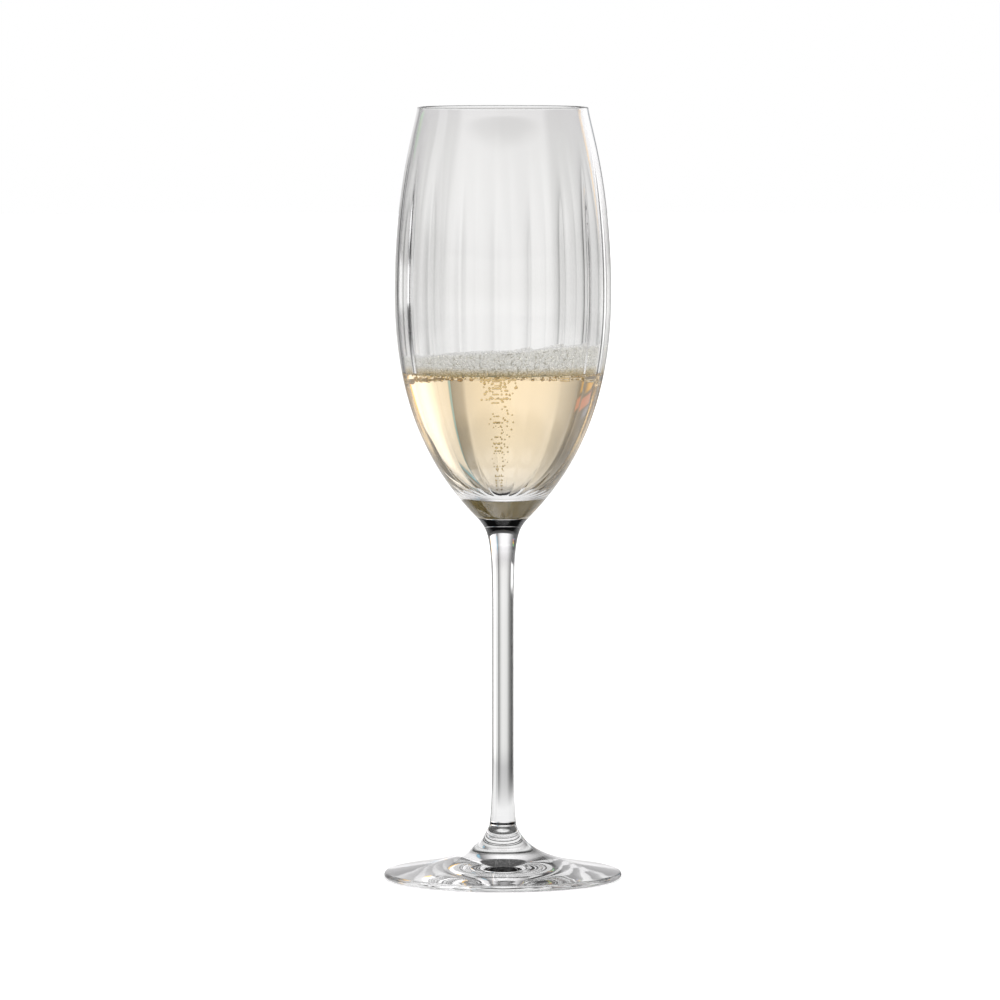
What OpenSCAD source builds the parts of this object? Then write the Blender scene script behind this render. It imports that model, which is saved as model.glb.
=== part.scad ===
// Champagne flute, filled: a blown bowl welded to a drawn stem and a pressed foot.
// The origin is the centre of the circle that the foot stands on, and +Z runs up the axis.
// The bowl tapers from a wide belly in to the lip, and the wine and its foam lie inside it.

/* [Overall] */
// Height of the whole glass, from the table to the lip
glass_h = 240; // [225:1:255]

/* [Bowl] */
// Height of the bowl, from its weld to the lip
bowl_h = 127.5; // [118:0.5:136]
// Height of the belly, the widest belt, above the weld
belly_h = 70; // [64:1:76]
// Outside radius of the belly
belly_r = 33.6; // [31:0.1:36]
// Outside radius of the lip
lip_r = 26.5; // [24:0.1:29]
// Outside radius of the weld between bowl and stem
bowl_weld_r = 8; // [7:0.1:9]
// Wall thickness at the lip
lip_t = 1; // [0.8:0.1:1.4]
// Wall thickness at the belly
belly_t = 1.2; // [1:0.1:1.6]
// Solid glass between the weld and the bottom of the cavity
bowl_base_t = 9.5; // [7.5:0.1:11]

/* [Stem] */
// Radius of the slender middle of the stem
stem_r = 3.35; // [3:0.05:3.8]
// Length of the collar that flares out to the bowl
collar_h = 32; // [26:1:40]
// Length of the gentle widening above the foot
ankle_h = 24; // [18:1:30]

/* [Foot] */
// Radius of the foot
foot_r = 37; // [34:0.5:40]
// Height of the foot, up to its weld to the stem
foot_h = 16.5; // [14:0.5:19]
// Radius of the weld between stem and foot
foot_weld_r = 4.2; // [4:0.05:4.6]
// Thickness of the rounded edge of the foot
foot_edge_t = 2; // [1.6:0.1:2.6]
// Rise of the hollow under the foot
foot_hollow = 1.4; // [0.8:0.1:2]
// Width of the flat ring that the foot stands on
foot_ring_w = 5; // [3:0.5:8]

/* [Contents] */
// Depth of the wine above the bottom of the cavity
wine_depth = 36; // [26:0.5:52]
// Depth of the foam at the axis
foam_depth = 7; // [5:0.5:9]
// Slope of the foam's top, which leans on one side of the bowl
foam_tilt = 3.6; // [0:0.1:4]

/* [Hidden] */

$fn = 128;

// Steps in each long curve and in each rounded edge.
curve_steps = 20;
edge_steps = 8;

bowl_z = glass_h - bowl_h;
belly_z = bowl_z + belly_h;
cavity_z = bowl_z + bowl_base_t;
wine_z = cavity_z + wine_depth;

// The lip is a half-round bead, and the curves of the wall end at its two sides.
lip_bead_r = lip_t / 2;
lip_z = glass_h - lip_bead_r;
shoulder_h = lip_z - belly_z;

// Angles from the upright, in degrees, of the walls at the welds and at the lip.
bowl_weld_angle = 45;
collar_angle = 42;
ankle_angle = 10;
foot_weld_angle = 19;
lip_angle = 7;
// Slope of the foot's top, from the level, where it runs into the rounded edge.
foot_edge_slope = 10;

// A point of a cubic curve that leaves its first point towards the second
// and arrives at its last point from the third.
function curve_point(p, t) =
    pow(1 - t, 3) * p[0] + 3 * pow(1 - t, 2) * t * p[1] + 3 * (1 - t) * t * t * p[2] + pow(t, 3) * p[3];

// The points of the curve, without its first one where the line before it ends there.
function curve(p, first = 1) = [for (i = [first:curve_steps]) curve_point(p, i / curve_steps)];

// The points of an arc, without its first one.
function arc(centre, r, from, to) =
    [for (i = [1:edge_steps]) let (a = from + (to - from) * i / edge_steps) centre + r * [cos(a), sin(a)]];

// A step of a given length, up and out at an angle from the upright.
function step_up(length, angle) = length * [sin(angle), cos(angle)];

// Outside of the bowl, from the weld up to the belly and in to the lip.
function bowl_outside() =
    let (
        weld = [bowl_weld_r, bowl_z],
        belly = [belly_r, belly_z],
        lip = [lip_r, lip_z]
    )
    concat(
        curve([weld, weld + step_up(0.47 * belly_h, bowl_weld_angle), belly - [0, 0.25 * belly_h], belly], 0),
        curve([belly, belly + [0, 0.58 * shoulder_h], lip - step_up(0.09 * shoulder_h, -lip_angle), lip])
    );

// Inside of the bowl, from the lowest point of the cavity up to the lip.
function bowl_inside() =
    let (
        bottom = [0, cavity_z],
        belly = [belly_r - belly_t, belly_z],
        lip = [lip_r - lip_t, lip_z]
    )
    concat(
        curve([bottom, bottom + [0.72 * belly_r, 0], belly - [0, 0.42 * belly_h], belly], 0),
        curve([belly, belly + [0, 0.58 * shoulder_h], lip - step_up(0.09 * shoulder_h, -lip_angle), lip])
    );

// Points in the opposite order.
function reversed(points) = [for (i = [len(points) - 1:-1:0]) points[i]];

// The space inside the bowl.
module cavity() {
    rotate_extrude() polygon(concat(bowl_inside(), [[0, lip_z]]));
}

// The bowl: a thin shell that thickens towards the weld.
module bowl() {
    bead = arc([lip_r - lip_bead_r, lip_z], lip_bead_r, 0, 180);
    inside = bowl_inside();
    inside_down = reversed([for (i = [0:len(inside) - 2]) inside[i]]);
    color("gainsboro")
        rotate_extrude() polygon(concat(bowl_outside(), bead, inside_down, [[0, bowl_z]]));
}

// The stem: it widens a little above the foot and flares into a collar under the bowl.
module stem() {
    bottom = [foot_weld_r, foot_h];
    ankle = [stem_r, foot_h + ankle_h];
    collar = [stem_r, bowl_z - collar_h];
    top = [bowl_weld_r, bowl_z];
    side = concat(
        curve([bottom, bottom + step_up(0.15 * ankle_h, -ankle_angle), ankle - [0, 0.5 * ankle_h], ankle], 0),
        curve([collar, collar + [0, 0.8 * collar_h], top - step_up(0.18 * collar_h, collar_angle), top], 0)
    );
    color("lightgray")
        rotate_extrude() polygon(concat([[0, foot_h]], side, [[0, bowl_z]]));
}

// The foot: a disc that rises to the stem like a trumpet's bell, with a hollow underside.
module foot() {
    edge_r = foot_edge_t / 2;
    edge_centre = [foot_r - edge_r, edge_r];
    top_start = edge_centre + step_up(edge_r, foot_edge_slope);
    weld = [foot_weld_r, foot_h];
    ring_r = foot_r - edge_r - foot_ring_w;
    edge = arc(edge_centre, edge_r, -90, 90 - foot_edge_slope);
    top = curve([
        top_start,
        top_start + step_up(0.4 * foot_r, foot_edge_slope - 90),
        weld - step_up(0.66 * foot_h, -foot_weld_angle),
        weld
    ]);
    hollow = curve([
        [0, foot_hollow],
        [0.4 * ring_r, foot_hollow],
        [0.75 * ring_r, 0],
        [ring_r, 0]
    ], 0);
    color("silver")
        rotate_extrude() polygon(concat(hollow, [[edge_centre[0], 0]], edge, top, [[0, foot_h]]));
}

// The wine: it fills the cavity up to its level.
module wine() {
    color("khaki") intersection() {
        cavity();
        translate([0, 0, cavity_z]) cylinder(h = wine_depth, r = belly_r);
    }
}

// The foam: it lies on the wine, and its top slopes from one side of the bowl to the other.
module foam() {
    block_w = 3 * belly_r;
    color("floralwhite") intersection() {
        cavity();
        translate([0, 0, wine_z]) cylinder(h = 2 * foam_depth, r = belly_r);
        translate([0, 0, wine_z + foam_depth])
            rotate([0, -foam_tilt, 0])
            translate([-block_w / 2, -block_w / 2, -3 * foam_depth])
            cube([block_w, block_w, 3 * foam_depth]);
    }
}

foot();
stem();
bowl();
wine();
foam();
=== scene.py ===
import math
import random

import bmesh
import bpy
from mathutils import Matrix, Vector


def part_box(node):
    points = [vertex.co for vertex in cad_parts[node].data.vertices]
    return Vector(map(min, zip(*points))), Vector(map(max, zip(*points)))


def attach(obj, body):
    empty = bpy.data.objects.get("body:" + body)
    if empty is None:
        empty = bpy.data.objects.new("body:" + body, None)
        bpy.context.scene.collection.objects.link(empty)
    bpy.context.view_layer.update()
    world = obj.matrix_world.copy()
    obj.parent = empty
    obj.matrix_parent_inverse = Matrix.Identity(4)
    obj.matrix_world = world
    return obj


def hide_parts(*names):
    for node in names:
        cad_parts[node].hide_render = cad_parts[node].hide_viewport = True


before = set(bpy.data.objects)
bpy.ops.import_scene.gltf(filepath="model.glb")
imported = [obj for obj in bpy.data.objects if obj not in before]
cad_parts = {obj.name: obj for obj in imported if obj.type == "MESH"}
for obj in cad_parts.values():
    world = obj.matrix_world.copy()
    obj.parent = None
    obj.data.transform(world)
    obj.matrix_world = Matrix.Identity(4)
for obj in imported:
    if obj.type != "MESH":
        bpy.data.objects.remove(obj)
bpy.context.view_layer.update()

MM = 0.001

# Heights and radii that the CAD model gives.
FOOT_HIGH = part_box("foot")[1]
STEM_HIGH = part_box("stem")[1]
BOWL_LOW, BOWL_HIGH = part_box("bowl")
WINE_LOW, WINE_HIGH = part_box("wine")
FOAM_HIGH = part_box("foam")[1]
GLASS_H = BOWL_HIGH.z
BOWL_Z = BOWL_LOW.z
BELLY_R = BOWL_HIGH.x
WELD_R = STEM_HIGH.x
FOOT_R = FOOT_HIGH.x
FOOT_H = FOOT_HIGH.z
CAVITY_Z = WINE_LOW.z
WINE_Z = WINE_HIGH.z

# Sizes inside those boxes, as in the CAD model. The angles are in degrees, from the upright,
# but the slope of the foot's edge is from the level.
BELLY_Z = BOWL_Z + 70 * MM
BELLY_WALL = 1.2 * MM
LIP_R = 26.5 * MM
LIP_WALL = 1.0 * MM
# The lip is a half-round bead, and the curves of the wall end at its two sides.
LIP_Z = GLASS_H - LIP_WALL / 2
STEM_R = 3.35 * MM
COLLAR_H = 32 * MM
ANKLE_H = 24 * MM
FOOT_WELD_R = 4.2 * MM
FOOT_EDGE_R = 1.0 * MM
FOOT_HOLLOW = 1.4 * MM
FOOT_RING_W = 5 * MM
BOWL_WELD_ANGLE = 45
COLLAR_ANGLE = 42
ANKLE_ANGLE = 10
FOOT_WELD_ANGLE = 19
LIP_ANGLE = 7
FOOT_EDGE_SLOPE = 10

# The optic ribs: shallow hollow panels blown into the inside of the bowl.
PANELS = 18
PANEL_TURN = math.radians(-4)
RIB_DEPTH = 0.45 * MM
# The ribs grow to their whole depth between these two radii.
RIB_START_R = 2 * MM
RIB_FULL_R = 15 * MM
# They die out over this stretch below the lip.
RIB_FADE_LOW = GLASS_H - 45 * MM
RIB_FADE_HIGH = GLASS_H - 6 * MM

# Segments round the bowl, the wine and the foot, and round the stem.
SEGMENTS = 16 * PANELS
STEM_SEGMENTS = SEGMENTS // 2
# Steps in each curve of the bowl's two sides, and in rounded edges.
OUTSIDE_STEPS = 70
INSIDE_STEPS = 80
EDGE_STEPS = 12

# The foam: its depth at the wall and the slope of its top, in degrees.
FOAM_DEPTH = 6.6 * MM
FOAM_TILT = 3.6
# The foam's top lies this much lower in the middle than at the wall, and it rises between
# these two radii.
FOAM_DIP = 3 * MM
FOAM_DIP_R = (16 * MM, 29 * MM)
# It also falls a little from front to back, in millimetres per millimetre.
FOAM_LEAN = 0.045
# The heart of the foam lies this far inside its outer bubbles, and its top meets its side
# at the height that the foam has at this radius.
FOAM_INSET = 0.7 * MM
FOAM_EDGE_R = 28 * MM
# The heart starts this far above the wine.
FOAM_GAP = 0.1 * MM
# Over this height its colour goes from the wine's to its own.
FOAM_WET_H = 3 * MM

# Bubbles of the foam that press on the glass: radii in millimetres and the height of a row.
SIDE_BUBBLE_RADII = (0.3, 0.38, 0.46, 0.55, 0.65, 0.85)
SIDE_BUBBLE_ROW = 0.65 * MM
# Bubbles on top of the foam: radii in millimetres and the space between their middles.
TOP_BUBBLE_RADII = (0.35, 0.42, 0.5, 0.6, 0.8)
TOP_BUBBLE_STEP = 1.18 * MM
# The space between the glass and a bubble of the foam.
BUBBLE_CLEARANCE = 0.04 * MM

# The strings of bubbles that rise through the wine, and where they start on the bottom.
STRINGS = 7
STRING_FOOT_X = -1.0 * MM
# Numbers of the bubbles where the strings end, and of those at the wall under the foam.
CROWD_BUBBLES = 50
WALL_BUBBLES = 400

# The wine reaches this far into the glass wall, so that light goes from one to the other
# with no film of air between them.
WETTING = 0.12 * MM

GLASS_IOR = 1.52
WINE_IOR = 1.345


# ---------------------------------------------------------------- curves and meshes

def step_up(length, angle):
    """A step of a length, up and out at an angle in degrees from the upright."""
    a = math.radians(angle)
    return Vector((length * math.sin(a), length * math.cos(a)))


def curve(points, steps, first=1):
    """Points of a cubic curve that leaves its first point towards the second
    and arrives at its last point from the third."""
    p0, p1, p2, p3 = (Vector(p) for p in points)
    out = []
    for i in range(first, steps + 1):
        t = i / steps
        s = 1 - t
        out.append(s ** 3 * p0 + 3 * s * s * t * p1 + 3 * s * t * t * p2 + t ** 3 * p3)
    return out


def arc(centre, radius, start, end, steps):
    """Points of an arc between two angles in degrees, without its first one."""
    out = []
    for i in range(1, steps + 1):
        a = math.radians(start + (end - start) * i / steps)
        out.append(Vector(centre) + radius * Vector((math.cos(a), math.sin(a))))
    return out


def smooth(low, high, x):
    """0 below low, 1 above high and smooth between them."""
    t = min(max((x - low) / (high - low), 0), 1)
    return t * t * (3 - 2 * t)


def new_object(name, verts, faces, material):
    """A smooth-shaded mesh object that rides on the CAD model's only body."""
    mesh = bpy.data.meshes.new(name)
    mesh.from_pydata([tuple(v) for v in verts], [], faces)
    mesh.polygons.foreach_set("use_smooth", [True] * len(mesh.polygons))
    mesh.materials.append(material)
    mesh.update()
    obj = bpy.data.objects.new(name, mesh)
    bpy.context.scene.collection.objects.link(obj)
    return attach(obj, "root")


def lathe(outline, segments, shift=None):
    """Vertices and faces of an outline of (r, z) points turned round Z. An outline that starts or
    ends on the axis closes there. shift(i, angle) may move a point of the outline at an angle."""
    verts = []
    rings = []
    for i, point in enumerate(outline):
        if point.x < 1e-7:
            rings.append([len(verts)])
            verts.append(Vector((0, 0, point.y)))
            continue
        ring = []
        for k in range(segments):
            a = 2 * math.pi * k / segments
            r, z = point + shift(i, a) if shift else point
            ring.append(len(verts))
            verts.append(Vector((r * math.cos(a), r * math.sin(a), z)))
        rings.append(ring)
    faces = []
    for low, high in zip(rings, rings[1:]):
        for k in range(segments):
            n = (k + 1) % segments
            if len(low) == 1:
                faces.append((low[0], high[n], high[k]))
            elif len(high) == 1:
                faces.append((low[k], low[n], high[0]))
            else:
                faces.append((low[k], low[n], high[n], high[k]))
    return verts, faces


def left_normals(points):
    """The direction to the left of a path of (r, z) points, at each of its points."""
    out = []
    for i in range(len(points)):
        step = points[min(i + 1, len(points) - 1)] - points[max(i - 1, 0)]
        out.append(Vector((-step.y, step.x)).normalized())
    return out


# ---------------------------------------------------------------- outlines
# They follow the curves of the CAD model, and so do their shares of heights and radii.

def shoulder_curve(belly, lip, steps):
    """One side of the wall above the belly, without the belly's own point."""
    height = lip.y - belly.y
    handle = lip - step_up(0.09 * height, -LIP_ANGLE)
    return curve((belly, belly + Vector((0, 0.58 * height)), handle, lip), steps)


def bowl_outside():
    """The bowl's outside, from the weld up to the lip."""
    belly_h = BELLY_Z - BOWL_Z
    weld = Vector((WELD_R, BOWL_Z))
    belly = Vector((BELLY_R, BELLY_Z))
    lip = Vector((LIP_R, LIP_Z))
    lower = (
        weld,
        weld + step_up(0.47 * belly_h, BOWL_WELD_ANGLE),
        belly - Vector((0, 0.25 * belly_h)),
        belly,
    )
    return curve(lower, OUTSIDE_STEPS, 0) + shoulder_curve(belly, lip, OUTSIDE_STEPS)


def bowl_inside(steps):
    """The bowl's inside, from the bottom of the cavity up to the lip."""
    belly_h = BELLY_Z - BOWL_Z
    bottom = Vector((0, CAVITY_Z))
    belly = Vector((BELLY_R - BELLY_WALL, BELLY_Z))
    lip = Vector((LIP_R - LIP_WALL, LIP_Z))
    lower = (
        bottom,
        bottom + Vector((0.72 * BELLY_R, 0)),
        belly - Vector((0, 0.42 * belly_h)),
        belly,
    )
    return curve(lower, steps, 0) + shoulder_curve(belly, lip, steps)


# The inside in finer steps, to look up its radius.
INSIDE = bowl_inside(200)


def inside_radius(z):
    """Radius of the bowl's plain inside at a height."""
    for low, high in zip(INSIDE, INSIDE[1:]):
        if z <= high.y:
            t = (z - low.y) / max(high.y - low.y, 1e-9)
            return low.x + t * (high.x - low.x)
    return INSIDE[-1].x


def rib(angle, r, z):
    """How far the optic ribs stand in from the plain inside at an angle, radius and height. Each
    panel is hollow and meets the next one in a sharp rib. The ribs die out below the lip."""
    u = ((angle - PANEL_TURN) * PANELS / (2 * math.pi) + 0.5) % 1 - 0.5
    fade = 1 - smooth(RIB_FADE_LOW, RIB_FADE_HIGH, z)
    return RIB_DEPTH * smooth(RIB_START_R, RIB_FULL_R, r) * fade * 4 * u * u


def foot_outline():
    """The foot, from the middle of its underside round the edge and up to the weld."""
    edge = Vector((FOOT_R - FOOT_EDGE_R, FOOT_EDGE_R))
    top_start = edge + step_up(FOOT_EDGE_R, FOOT_EDGE_SLOPE)
    weld = Vector((FOOT_WELD_R, FOOT_H))
    ring_r = edge.x - FOOT_RING_W
    hollow = ((0, FOOT_HOLLOW), (0.4 * ring_r, FOOT_HOLLOW), (0.75 * ring_r, 0), (ring_r, 0))
    top = (
        top_start,
        top_start + step_up(0.4 * FOOT_R, FOOT_EDGE_SLOPE - 90),
        weld - step_up(0.66 * FOOT_H, -FOOT_WELD_ANGLE),
        weld,
    )
    ring_steps = 4
    ring = [Vector((ring_r + FOOT_RING_W * i / ring_steps, 0)) for i in range(1, ring_steps + 1)]
    rounded = arc(edge, FOOT_EDGE_R, -90, 90 - FOOT_EDGE_SLOPE, EDGE_STEPS)
    return curve(hollow, 40, 0) + ring + rounded + curve(top, 90)


def stem_outline():
    """The stem's side, from the weld on the foot up to the weld under the bowl."""
    bottom = Vector((FOOT_WELD_R, FOOT_H))
    ankle = Vector((STEM_R, FOOT_H + ANKLE_H))
    collar = Vector((STEM_R, BOWL_Z - COLLAR_H))
    top = Vector((WELD_R, BOWL_Z))
    low = (
        bottom,
        bottom + step_up(0.15 * ANKLE_H, -ANKLE_ANGLE),
        ankle - Vector((0, 0.5 * ANKLE_H)),
        ankle,
    )
    high = (
        collar,
        collar + Vector((0, 0.8 * COLLAR_H)),
        top - step_up(0.18 * COLLAR_H, COLLAR_ANGLE),
        top,
    )
    middle_steps = 12
    middle = [ankle.lerp(collar, i / middle_steps) for i in range(1, middle_steps + 1)]
    return curve(low, 24, 0) + middle + curve(high, 40)


# ---------------------------------------------------------------- materials

class NodeKit:
    """Short calls that add linked nodes to a node tree."""

    def __init__(self, tree):
        self.tree = tree

    def add(self, kind, **values):
        made = self.tree.nodes.new(kind)
        for key, value in values.items():
            setattr(made, key, value)
        return made

    def link(self, source, socket):
        """Links a socket, or sets it where the source is a plain value."""
        if isinstance(source, bpy.types.NodeSocket):
            self.tree.links.new(source, socket)
        else:
            socket.default_value = source

    def math(self, operation, a, b=0.0):
        made = self.add("ShaderNodeMath", operation=operation)
        self.link(a, made.inputs[0])
        self.link(b, made.inputs[1])
        return made.outputs[0]

    def ramp(self, factor, stops):
        """A colour ramp of (position, colour) stops."""
        made = self.add("ShaderNodeValToRGB")
        elements = made.color_ramp.elements
        elements.remove(elements[1])
        for i, (position, colour) in enumerate(stops):
            element = elements[0] if i == 0 else elements.new(position)
            element.position = position
            element.color = (*colour, 1)
        self.link(factor, made.inputs["Fac"])
        return made.outputs["Color"]

    def blend(self, factor, a, b, mode="MIX"):
        made = self.add("ShaderNodeMix", data_type="RGBA", blend_type=mode)
        self.link(factor, made.inputs[0])
        self.link(a, made.inputs[6])
        self.link(b, made.inputs[7])
        return made.outputs[2]

    def rise(self, value, low, high):
        """0 below low, 1 above high and smooth between them."""
        made = self.add("ShaderNodeMapRange", interpolation_type="SMOOTHSTEP")
        self.link(value, made.inputs["Value"])
        self.link(low, made.inputs["From Min"])
        self.link(high, made.inputs["From Max"])
        return made.outputs["Result"]

    def pulse(self, value, centre, half_width):
        """1 round the centre and 0 beyond the half width on either side of it."""
        before = self.rise(value, centre - half_width, centre - half_width / 2)
        after = self.rise(value, centre + half_width / 2, centre + half_width)
        return self.math("SUBTRACT", before, after)


def node_material(name):
    """A new material, a kit for its nodes and its Principled shader."""
    material = bpy.data.materials.new(name)
    material.use_nodes = True
    tree = material.node_tree
    return material, NodeKit(tree), tree.nodes["Principled BSDF"]


def clear_material(name, ior):
    """A clear material that light passes through."""
    material, kit, shader = node_material(name)
    shader.inputs["Base Color"].default_value = (1, 1, 1, 1)
    shader.inputs["Roughness"].default_value = 0.0
    shader.inputs["IOR"].default_value = ior
    shader.inputs["Transmission Weight"].default_value = 1
    return material, kit, shader


def glass_material():
    """Clear crystal glass, fire-polished."""
    material, kit, shader = clear_material("crystal_glass", GLASS_IOR)
    # The faint unevenness of blown glass, drawn out along its height.
    stretch = kit.add("ShaderNodeMapping")
    kit.link(kit.add("ShaderNodeTexCoord").outputs["Object"], stretch.inputs["Vector"])
    stretch.inputs["Scale"].default_value = (1, 1, 0.4)
    waves = kit.add("ShaderNodeTexNoise")
    kit.link(stretch.outputs[0], waves.inputs["Vector"])
    waves.inputs["Scale"].default_value = 90
    waves.inputs["Detail"].default_value = 1
    bump = kit.add("ShaderNodeBump")
    bump.inputs["Distance"].default_value = 0.04 * MM
    kit.link(waves.outputs["Fac"], bump.inputs["Height"])
    kit.link(bump.outputs["Normal"], shader.inputs["Normal"])
    return material


def wine_material():
    """Pale straw-gold sparkling wine."""
    material, kit, shader = clear_material("sparkling_wine", WINE_IOR)
    shader.inputs["Specular IOR Level"].default_value = 0
    absorb = kit.add("ShaderNodeVolumeAbsorption")
    absorb.inputs["Color"].default_value = (0.99, 0.72, 0.14, 1)
    absorb.inputs["Density"].default_value = 13
    output = material.node_tree.nodes["Material Output"]
    kit.link(absorb.outputs["Volume"], output.inputs["Volume"])
    return material


def weld_material():
    """The plane of a hot weld, where the glass runs on and nothing shows."""
    return clear_material("fused_weld", 1.0)[0]


def colour_foam(kit, shader, wet, dry, painted_glow):
    """Gives foam its colour, which goes from wet, at the wine, to dry a little above it, and
    its painted glow: emission in that colour, painted light that stands in for the light that finds its
    way round inside."""
    split = kit.add("ShaderNodeSeparateXYZ")
    kit.link(kit.add("ShaderNodeTexCoord").outputs["Object"], split.inputs[0])
    colour = kit.blend(kit.rise(split.outputs["Z"], WINE_Z, WINE_Z + FOAM_WET_H), (*wet, 1), (*dry, 1))
    kit.link(colour, shader.inputs["Base Color"])
    # Painted light: the foam emits its own colour, though it is no lamp.
    kit.link(colour, shader.inputs["Emission Color"])
    shader.inputs["Emission Strength"].default_value = painted_glow


def foam_material():
    """The heart of the foam: dense, wet and greyish, and light soaks through it. It also has a faint
    painted glow, emission that stands in for light carried round inside.
    """
    material, kit, shader = node_material("foam_heart")
    colour_foam(kit, shader, (0.6, 0.54, 0.28), (0.62, 0.6, 0.54), 0.08)
    shader.inputs["Roughness"].default_value = 0.4
    shader.inputs["Subsurface Weight"].default_value = 0.5
    shader.inputs["Subsurface Radius"].default_value = (1, 1, 1)
    shader.inputs["Subsurface Scale"].default_value = 3 * MM
    return material


def film_material(name, wet, dry, painted_glow, clearness):
    """Outer bubbles of the foam: milky skins with a wet gloss, which let some of the light through, and
    a painted glow, emission that stands in for light carried round inside the foam.
    """
    material, kit, shader = node_material(name)
    colour_foam(kit, shader, wet, dry, painted_glow)
    shader.inputs["Roughness"].default_value = 0.06
    shader.inputs["IOR"].default_value = 1.5
    shader.inputs["Transmission Weight"].default_value = clearness
    shader.inputs["Coat Weight"].default_value = 1
    shader.inputs["Coat Roughness"].default_value = 0.02
    shader.inputs["Coat IOR"].default_value = 1.6
    return material


def bubble_material():
    """Small bubbles in the wine: golden rims round bright middles."""
    material, _, shader = clear_material("wine_bubble", 1.55)
    shader.inputs["Base Color"].default_value = (0.96, 0.86, 0.6, 1)
    return material


GLASS = glass_material()
WINE = wine_material()
WELD = weld_material()
FOAM = foam_material()
# The 0.14 and 0.16 are painted glows: emission that stands in for light carried round inside the foam.
FOAM_FILM = film_material("foam_film", (0.7, 0.55, 0.24), (0.98, 0.97, 0.93), 0.14, 0.3)
FOAM_CROWN = film_material("foam_crown", (0.96, 0.955, 0.94), (0.96, 0.955, 0.94), 0.16, 0.3)
BUBBLE = bubble_material()


# ---------------------------------------------------------------- the glass

def glass_object(name, verts, faces, weld_faces):
    """An object of glass whose flat weld faces, given by their indices, do not show."""
    obj = new_object(name, verts, faces, GLASS)
    obj.data.materials.append(WELD)
    for i in weld_faces:
        obj.data.polygons[i].material_index = 1
        obj.data.polygons[i].use_smooth = False
    return obj


def make_bowl():
    """The bowl: plain outside, ribbed inside. Its weld is the first ring of faces."""
    outside = bowl_outside()
    bead = arc((LIP_R - LIP_WALL / 2, LIP_Z), LIP_WALL / 2, 0, 180, EDGE_STEPS)
    inside = bowl_inside(INSIDE_STEPS)[:-1]
    inside.reverse()
    outline = [Vector((0, BOWL_Z))] + outside + bead + inside
    first_inside = 1 + len(outside) + len(bead)
    normals = left_normals(outline)

    def shift(i, angle):
        """Moves the inside towards the cavity by the depth of the ribs."""
        if i < first_inside:
            return Vector((0, 0))
        return -normals[i] * rib(angle, *outline[i])

    verts, faces = lathe(outline, SEGMENTS, shift)
    bowl = glass_object("bowl_glass", verts, faces, range(SEGMENTS))
    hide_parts("bowl")


def make_stem():
    """The stem. Its welds are the first and the last ring of faces."""
    outline = [Vector((0, FOOT_H))] + stem_outline() + [Vector((0, BOWL_Z))]
    verts, faces = lathe(outline, STEM_SEGMENTS)
    welds = [*range(STEM_SEGMENTS), *range(len(faces) - STEM_SEGMENTS, len(faces))]
    stem = glass_object("stem_glass", verts, faces, welds)
    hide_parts("stem")


def make_foot():
    """The foot. Its weld is the last ring of faces."""
    outline = foot_outline() + [Vector((0, FOOT_H))]
    verts, faces = lathe(outline, SEGMENTS)
    foot = glass_object("foot_glass", verts, faces, range(len(faces) - SEGMENTS, len(faces)))
    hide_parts("foot")


# ---------------------------------------------------------------- the wine

def make_wine():
    """The wine, which reaches a little into the wall round it."""
    side = [point for point in bowl_inside(INSIDE_STEPS) if point.y < WINE_Z]
    side.append(Vector((inside_radius(WINE_Z), WINE_Z)))
    normals = left_normals(side)
    wetted = [point - WETTING * normal for point, normal in zip(side, normals)]
    wetted[0].x = 0
    wetted[-1].y = WINE_Z
    top_rings = 12
    top = [Vector((wetted[-1].x * (1 - i / top_rings), WINE_Z)) for i in range(1, top_rings + 1)]

    def shift(i, angle):
        """Moves the sides with the ribs of the wall."""
        if i >= len(side):
            return Vector((0, 0))
        return normals[i] * rib(angle, *side[i])

    verts, faces = lathe(wetted + top, SEGMENTS, shift)
    wine = new_object("wine_body", verts, faces, WINE)
    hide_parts("wine")


# ---------------------------------------------------------------- bubbles and foam

def wall_radius(angle, z):
    """Radius of the ribbed inside of the bowl at an angle and height."""
    r = inside_radius(z)
    return r - rib(angle, r, z)


def foam_top(x, y):
    """Height of the foam's top, which rises towards +X and at the wall and is a little uneven."""
    slope = math.tan(math.radians(FOAM_TILT))
    wave = 0.35 * MM * math.sin(x / (5.1 * MM) + 1) * math.cos(y / (6.3 * MM))
    dip = FOAM_DIP * (1 - smooth(*FOAM_DIP_R, math.hypot(x, y)))
    return WINE_Z + FOAM_DEPTH + x * slope - y * FOAM_LEAN + wave - dip


def spheres(name, balls, detail, material):
    """One mesh of many small spheres, each given as (centre, radius)."""
    ball = bmesh.new()
    bmesh.ops.create_icosphere(ball, subdivisions=detail, radius=1)
    unit = [v.co.copy() for v in ball.verts]
    corners = [tuple(v.index for v in f.verts) for f in ball.faces]
    ball.free()
    verts = []
    faces = []
    for centre, radius in balls:
        start = len(verts)
        verts += [centre + radius * v for v in unit]
        faces += [tuple(start + k for k in corner) for corner in corners]
    return new_object(name, verts, faces, material)


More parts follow.
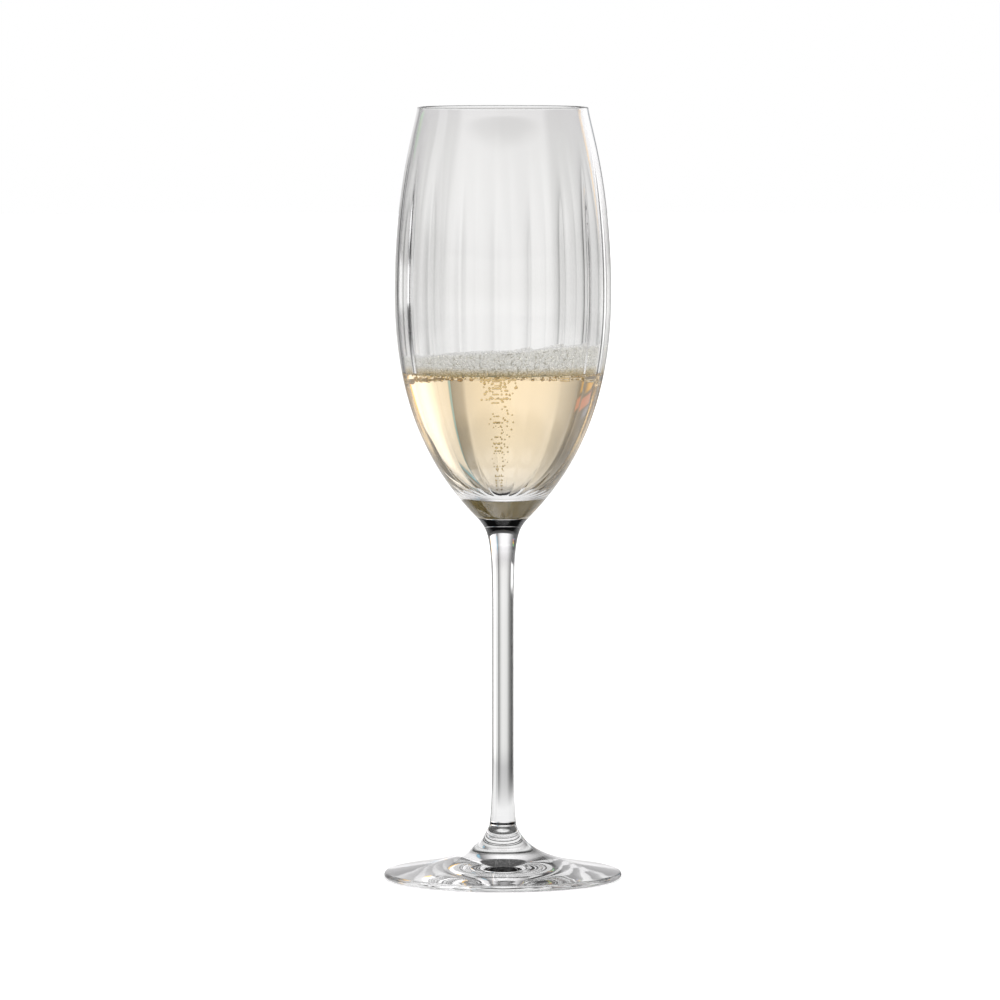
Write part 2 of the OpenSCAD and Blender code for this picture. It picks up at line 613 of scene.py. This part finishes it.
def make_foam_body():
    """The opaque heart of the foam, just inside its outer bubbles."""
    side_rings = 10
    top_rings = 12
    segments = 120
    bottom = WINE_Z + FOAM_GAP
    verts = []
    for i in range(side_rings + 1):
        for k in range(segments):
            a = 2 * math.pi * k / segments
            high = foam_top(FOAM_EDGE_R * math.cos(a), FOAM_EDGE_R * math.sin(a)) - FOAM_INSET
            z = bottom + (high - bottom) * i / side_rings
            r = wall_radius(a, z) - FOAM_INSET
            verts.append(Vector((r * math.cos(a), r * math.sin(a), z)))
    rim = verts[-segments:]
    for i in range(1, top_rings):
        for edge in rim:
            x, y = (edge * (1 - i / top_rings)).xy
            verts.append(Vector((x, y, foam_top(x, y) - FOAM_INSET)))
    last = len(verts) - segments
    faces = []
    for low in range(0, last, segments):
        high = low + segments
        for k in range(segments):
            n = (k + 1) % segments
            faces.append((low + k, low + n, high + n, high + k))
    verts.append(Vector((0, 0, foam_top(0, 0) - FOAM_INSET)))
    verts.append(Vector((0, 0, bottom)))
    for k in range(segments):
        n = (k + 1) % segments
        faces.append((last + k, last + n, len(verts) - 2))
        faces.append((n, k, len(verts) - 1))
    foam = new_object("foam_heart", verts, faces, FOAM)
    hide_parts("foam")


def side_bubbles(draw):
    """The bubbles of the foam that press on the glass, in uneven rows round the wall."""
    balls = []
    row = WINE_Z + 0.2 * MM
    while row < FOAM_HIGH.z:
        a = draw.random()
        turn = a + 2 * math.pi
        while a < turn:
            radius = draw.choice(SIDE_BUBBLE_RADII) * MM
            z = row + draw.uniform(-0.25, 0.25) * MM
            r = wall_radius(a, z) - radius - BUBBLE_CLEARANCE
            centre = Vector((r * math.cos(a), r * math.sin(a), z))
            if z + radius < foam_top(centre.x, centre.y) and z - radius > WINE_Z - 0.5 * MM:
                balls.append((centre, radius))
            a += (1.9 * radius + draw.uniform(-0.15, 0.05) * MM) / r
        row += SIDE_BUBBLE_ROW
    return balls


def top_bubbles(draw):
    """The bubbles on top of the foam, on an uneven grid of triangles."""
    balls = []
    reach = int(FOAM_HIGH.x / TOP_BUBBLE_STEP) + 1
    for i in range(-reach, reach + 1):
        for k in range(-reach, reach + 1):
            radius = draw.choice(TOP_BUBBLE_RADII) * MM
            x = (i + 0.5 * (k % 2) + draw.uniform(-0.25, 0.25)) * TOP_BUBBLE_STEP
            y = (k * 0.87 + draw.uniform(-0.25, 0.25)) * TOP_BUBBLE_STEP
            z = foam_top(x, y) - radius + draw.uniform(-0.3, 0.2) * MM
            if math.hypot(x, y) < wall_radius(math.atan2(y, x), z) - radius - BUBBLE_CLEARANCE:
                balls.append((Vector((x, y, z)), radius))
    return balls


def make_foam_bubbles():
    """The outer bubbles of the foam: those that press on the glass and those on top."""
    draw = random.Random(11)
    side = spheres("foam_bubbles_side", side_bubbles(draw), 2, FOAM_FILM)
    top = spheres("foam_bubbles_top", top_bubbles(draw), 2, FOAM_CROWN)
    for piece in (side, top):
        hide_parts("foam")


def rising_string(draw, end_x, end_y, start, stop):
    """Bubbles of one string, which rises from the bottom of the cavity and wanders to its own end.
    They grow as they rise. start and stop are shares of the wine's depth."""
    balls = []
    phase = draw.uniform(0, 6)
    t = start
    while t < stop:
        sway = 0.7 * MM * math.sin(11 * t + phase) * t
        x = STRING_FOOT_X + end_x * t + sway + draw.gauss(0, 0.8) * MM * (t + 0.1)
        y = end_y * t + draw.gauss(0, 0.8) * MM * t
        radius = (0.11 + 0.14 * t + draw.uniform(0, 0.12)) * MM
        balls.append((Vector((x, y, CAVITY_Z + t * (WINE_Z - CAVITY_Z))), radius))
        t += draw.choice((0.03, 0.04, 0.06, 0.09, 0.13))
    return balls


def make_wine_bubbles():
    """The bubbles that rise from the bottom of the cavity, and those that gather under the foam."""
    draw = random.Random(5)
    balls = []
    for _ in range(STRINGS):
        balls += rising_string(draw, draw.uniform(-3.6, 2.0) * MM, draw.uniform(-3, 3) * MM, 0.04, 0.98)
    # A short string of its own, to the right of the others.
    balls += rising_string(draw, 5 * MM, -2 * MM, 0.3, 0.75)
    # The crowd under the foam, where the strings end.
    for _ in range(CROWD_BUBBLES):
        depth = draw.random() ** 1.6 * 6 * MM
        x = -0.6 * MM + draw.uniform(-4.5, 4.5) * MM
        y = draw.uniform(-5, 5) * MM
        radius = draw.uniform(0.25, 0.45) * MM
        balls.append((Vector((x, y, WINE_Z - 0.5 * MM - depth)), radius))
    # Small bubbles in a thin ring at the wall, just under the foam.
    for _ in range(WALL_BUBBLES):
        a = draw.uniform(0, 2 * math.pi)
        radius = draw.uniform(0.12, 0.32) * MM
        z = WINE_Z - radius - draw.random() ** 3 * 0.3 * MM
        r = wall_radius(a, z) - radius - 0.03 * MM
        balls.append((Vector((r * math.cos(a), r * math.sin(a), z)), radius))
    bubbles = spheres("wine_bubbles", balls, 3, BUBBLE)
    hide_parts("wine")


# ---------------------------------------------------------------- stage, light and camera

# The floor is a large disc that lies this far under the glass.
FLOOR_R = 6
FLOOR_DROP = 0.1 * MM


def make_floor():
    """A pale floor just under the foot, which glows a little as in a light tent."""
    material, _, shader = node_material("pale_floor")
    shader.inputs["Base Color"].default_value = (0.9, 0.9, 0.9, 1)
    shader.inputs["Roughness"].default_value = 0.6
    shader.inputs["Emission Color"].default_value = (1, 1, 1, 1)
    shader.inputs["Emission Strength"].default_value = 0.5
    mesh = bpy.data.meshes.new("floor")
    verts, faces = lathe([Vector((0, -FLOOR_DROP)), Vector((FLOOR_R, -FLOOR_DROP))], 96)
    mesh.from_pydata([tuple(v) for v in verts], [], faces)
    mesh.materials.append(material)
    floor = bpy.data.objects.new("floor", mesh)
    bpy.context.scene.collection.objects.link(floor)
    # The glass shows the studio round it instead of the floor, as it would on a small stand.
    floor.visible_transmission = False
    floor.visible_glossy = False


# The studio round the glass, which shows in it: grey levels by azimuth in degrees. Azimuth 0 is
# behind the glass as the camera sees it, and 90 is to its right. There are a pale panel behind
# the glass, a softbox behind it to the right, a narrow panel to its left and a broad light
# behind the camera. The rest is dark.
STUDIO_RING = [
    (-180, 1.4), (-125, 1.4), (-115, 0.1), (-99, 0.1), (-97, 0.85), (-83, 0.85), (-81, 0.06),
    (-44, 0.06), (-34, 0.2), (-26, 0.4), (-20, 0.72), (-13, 1.02), (-2, 1.1), (4, 1.04),
    (8, 0.9), (12, 0.55), (16.5, 0.23), (18, 0.2), (18.6, 0.95), (27, 1.1), (33, 1.75),
    (50, 1.75), (53, 0.4), (70, 0.25), (90, 0.12), (115, 0.12), (125, 1.4), (180, 1.4),
]

# The table round the glass, well below the horizon: grey levels by azimuth.
TABLE_RING = [
    (-180, 0.6), (-95, 0.6), (-75, 0.9), (55, 0.9), (80, 0.6), (105, 0.9), (165, 0.9), (180, 0.6),
]

# How the light changes with height near the horizon: colours by elevation in degrees.
STUDIO_HEIGHTS = [
    (-90, (0.8, 0.8, 0.8)),
    (-7, (0.5, 0.5, 0.5)),
    (-6.6, (0.7, 0.7, 0.69)),
    (-4.2, (0.8, 0.8, 0.79)),
    (-2.9, (0.79, 0.785, 0.775)),
    (-1.8, (0.7, 0.695, 0.685)),
    (-0.8, (0.66, 0.645, 0.65)),
    (2, (0.86, 0.85, 0.86)),
    (5, (1, 0.99, 1)),
    (90, (1, 0.99, 1)),
]

# Patches of the studio: azimuth, half width, elevation, half height and colour.
PATCHES = [
    # A dark ceiling behind the glass, and a dark band under the table all round.
    (0, 90, 44, 22, (0.08, 0.08, 0.08)),
    (0, 400, -56, 22, (0.06, 0.06, 0.06)),
    # A white card to the left of the pale panel.
    (-45, 14, -2.3, 2.2, (1.35, 1.35, 1.35)),
    # Coloured fringes on the edges of the softbox, as heavy glass spreads them.
    (17.4, 1.6, 9, 9, (0.35, 0.6, 0.75)),
    (52.5, 2.6, 11, 11, (1.7, 0.95, 0.15)),
    # The spectrum that the wine's edge spreads.
    (-41, 6, 7.4, 1.2, (0.2, 0.55, 0.2)),
    (-39, 6, 9.2, 1.4, (0.8, 0.5, 0.14)),
    (-37, 6, 12.0, 1.4, (0.62, 0.3, 0.26)),
    (-41, 6, 14.4, 1.2, (0.3, 0.34, 0.5)),
]

# The table gives way to the studio between these elevations in degrees.
TABLE_TOP = (-11, -7)
# So does the studio to the gap over its panels, and the gap to the light overhead.
GAP_START = (21.5, 24)
GAP_LEVEL = 0.12
OVERHEAD_START = (32, 36)
OVERHEAD_LEVEL = 1.4
# A colour ramp stops at 1, so the ring is divided by its brightest level and multiplied again.
SOFTBOX_LEVEL = max(level for _, level in STUDIO_RING)


def grey(level):
    """A grey colour."""
    return (level, level, level)


def ring_stops(ring, scale):
    """Stops of a colour ramp once round the horizon, with the levels divided by a scale."""
    return [(azimuth / 360 + 0.5, grey(level / scale)) for azimuth, level in ring]


def make_world():
    """The studio round the glass, and the white backdrop that only the camera sees."""
    world = bpy.data.worlds.new("studio")
    bpy.context.scene.world = world
    world.use_nodes = True
    tree = world.node_tree
    tree.nodes.clear()
    kit = NodeKit(tree)
    split = kit.add("ShaderNodeSeparateXYZ")
    kit.link(kit.add("ShaderNodeTexCoord").outputs["Generated"], split.inputs[0])
    azimuth = kit.math("DEGREES", kit.math("ARCTAN2", split.outputs["X"], split.outputs["Y"]))
    elevation = kit.math("DEGREES", kit.math("ARCSINE", split.outputs["Z"]))
    around = kit.math("ADD", kit.math("DIVIDE", azimuth, 360.0), 0.5)
    up = kit.math("ADD", kit.math("DIVIDE", elevation, 180.0), 0.5)
    ring = kit.ramp(around, ring_stops(STUDIO_RING, SOFTBOX_LEVEL))
    ring = kit.blend(1.0, ring, (*grey(SOFTBOX_LEVEL), 1), "MULTIPLY")
    heights = kit.ramp(up, [(height / 180 + 0.5, colour) for height, colour in STUDIO_HEIGHTS])
    panels = kit.blend(1.0, ring, heights, "MULTIPLY")
    table = kit.ramp(around, ring_stops(TABLE_RING, 1))
    light = kit.blend(kit.rise(elevation, *TABLE_TOP), table, panels)
    light = kit.blend(kit.rise(elevation, *GAP_START), light, (*grey(GAP_LEVEL), 1))
    light = kit.blend(kit.rise(elevation, *OVERHEAD_START), light, (*grey(OVERHEAD_LEVEL), 1))
    for side, half_width, height, half_height, colour in PATCHES:
        across = kit.pulse(azimuth, side, half_width)
        along = kit.pulse(elevation, height, half_height)
        light = kit.blend(kit.math("MULTIPLY", across, along), light, (*colour, 1))
    studio = kit.add("ShaderNodeBackground")
    kit.link(light, studio.inputs["Color"])
    # What the camera sees past the glass is a plain white backdrop.
    backdrop = kit.add("ShaderNodeBackground")
    backdrop.inputs["Color"].default_value = (1, 1, 1, 1)
    choose = kit.add("ShaderNodeMixShader")
    kit.link(kit.add("ShaderNodeLightPath").outputs["Is Camera Ray"], choose.inputs[0])
    kit.link(studio.outputs[0], choose.inputs[1])
    kit.link(backdrop.outputs[0], choose.inputs[2])
    kit.link(choose.outputs[0], kit.add("ShaderNodeOutputWorld").inputs["Surface"])


# The camera stands in front of the glass, a little above its lip, and looks at its middle.
CAMERA_TARGET = Vector((-0.9 * MM, 0, 118 * MM))
CAMERA_DISTANCE = 2.145
CAMERA_HEIGHT = 0.281
# Width of what it sees at the target.
FRAME_WIDTH = 0.3107


def make_camera():
    """A long lens that keeps the uprights straight."""
    place = Vector((CAMERA_TARGET.x, -CAMERA_DISTANCE, CAMERA_HEIGHT))
    data = bpy.data.cameras.new("camera")
    data.lens = data.sensor_width * (place - CAMERA_TARGET).length / FRAME_WIDTH
    data.clip_start = 0.05
    data.clip_end = 50
    camera = bpy.data.objects.new("camera", data)
    camera.location = place
    camera.rotation_euler = (CAMERA_TARGET - place).to_track_quat("-Z", "Y").to_euler()
    bpy.context.scene.collection.objects.link(camera)
    bpy.context.scene.camera = camera


make_bowl()
make_stem()
make_foot()
make_wine()
make_foam_body()
make_foam_bubbles()
make_wine_bubbles()
make_floor()
make_world()
make_camera()

# Light goes through many walls of glass and bubbles before it ends.
scene = bpy.context.scene
scene.view_settings.view_transform = "Standard"
scene.cycles.max_bounces = 32
scene.cycles.transmission_bounces = 32
scene.cycles.glossy_bounces = 12
scene.cycles.transparent_max_bounces = 16
